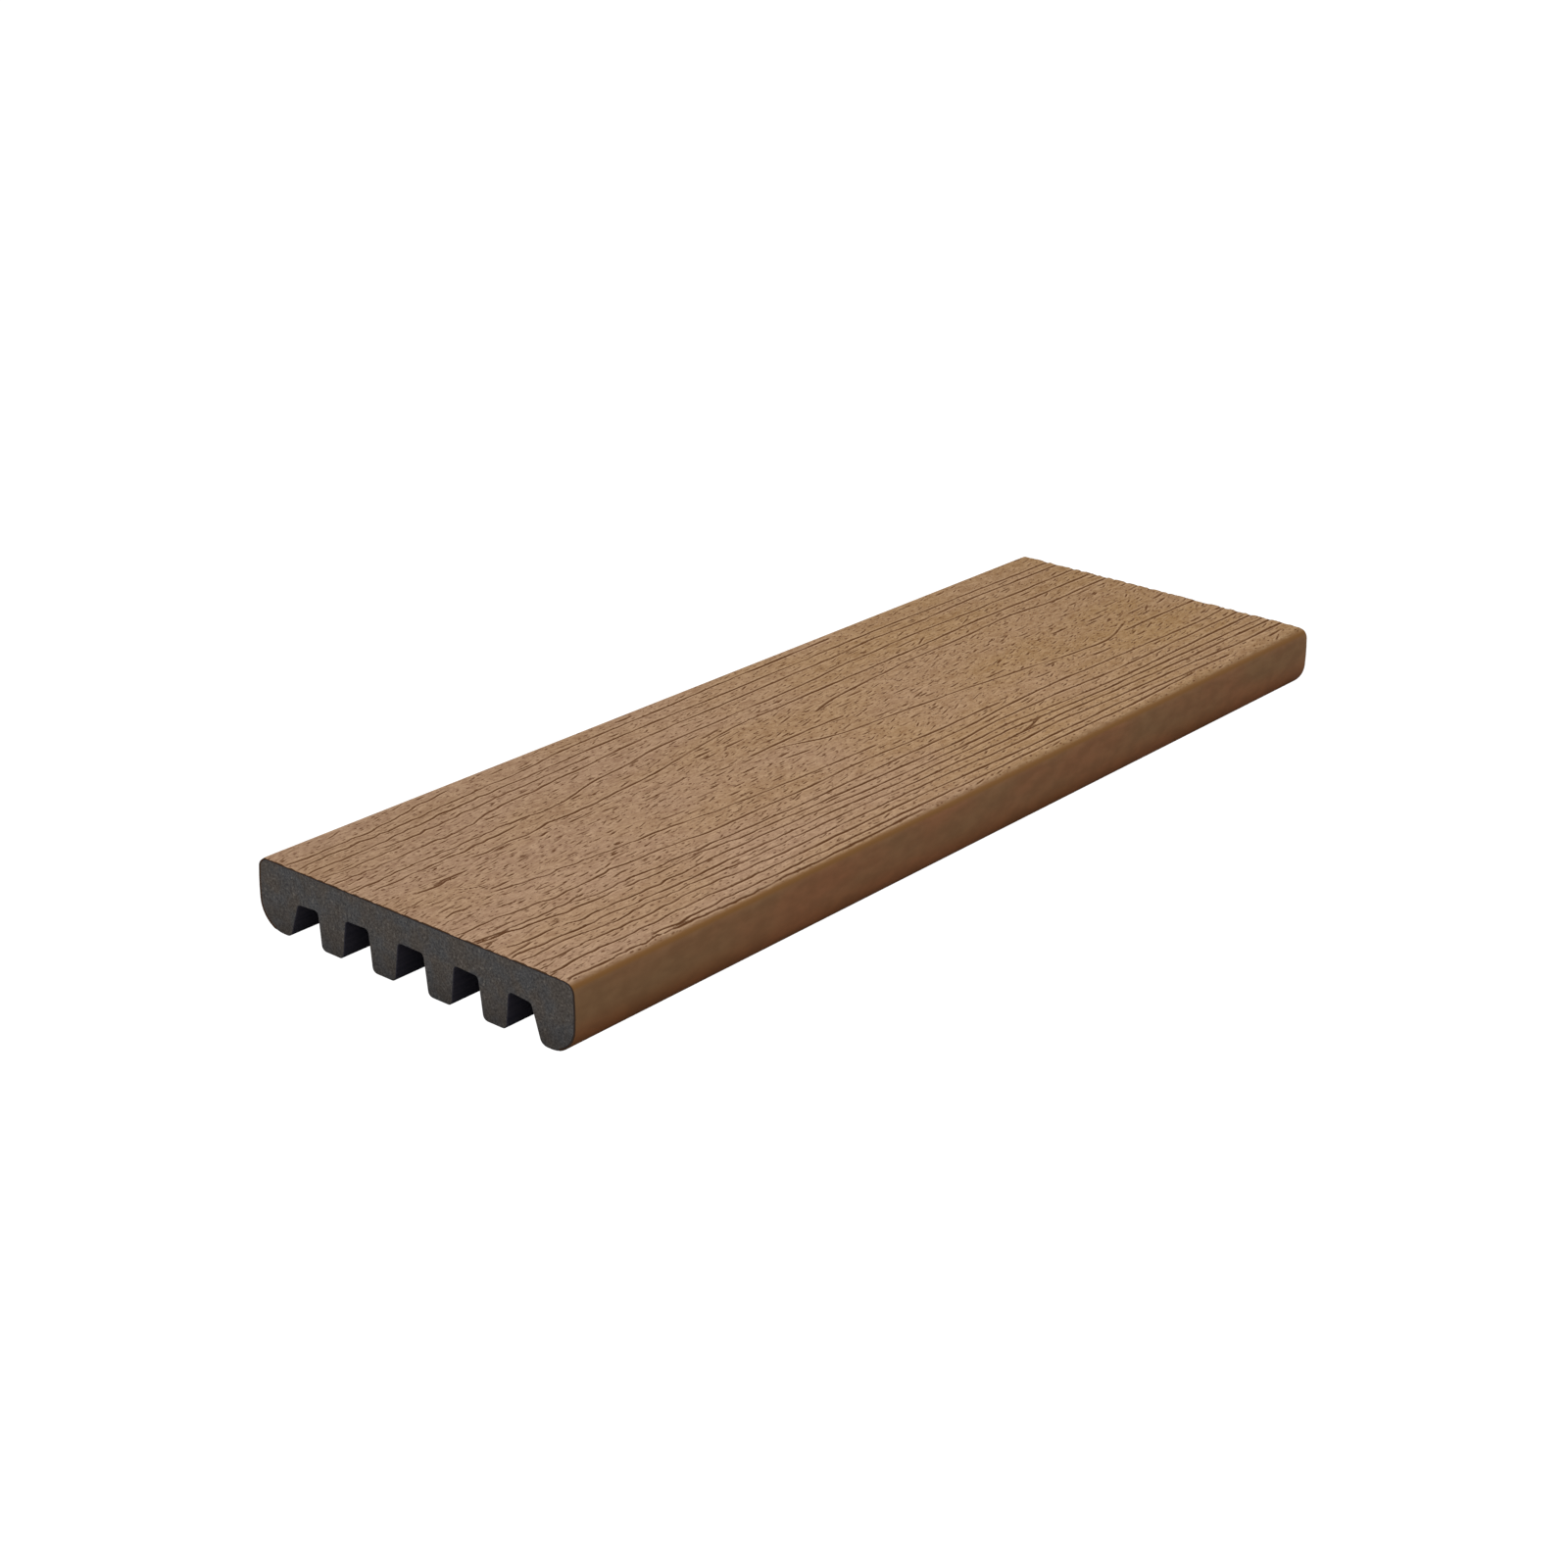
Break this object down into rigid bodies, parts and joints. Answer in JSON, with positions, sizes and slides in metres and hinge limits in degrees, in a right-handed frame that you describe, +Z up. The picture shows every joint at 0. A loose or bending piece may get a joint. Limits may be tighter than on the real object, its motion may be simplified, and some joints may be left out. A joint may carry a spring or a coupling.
{
  "type": "composite decking board sample",
  "caption": "Short length of capped composite deck and step board: wood-grain skin over a dark grooved core with sawn ends.",
  "frame": {"origin": "under the middle of the board, on the surface that its ribs stand on", "axes": "+X along the board from one sawn end to the other, +Y across it, +Z up through the tread"},
  "size_m": [0.4064, 0.136, 0.0242],
  "materials": {
    "core": "dark grey wood and plastic composite, rough where it is sawn",
    "cap": "light brown plastic skin with an embossed wood grain on the tread and smooth sides"
  },
  "bodies": {
    "root": {"core": "core", "cap": "cap"}
  },
  "joints": []
}
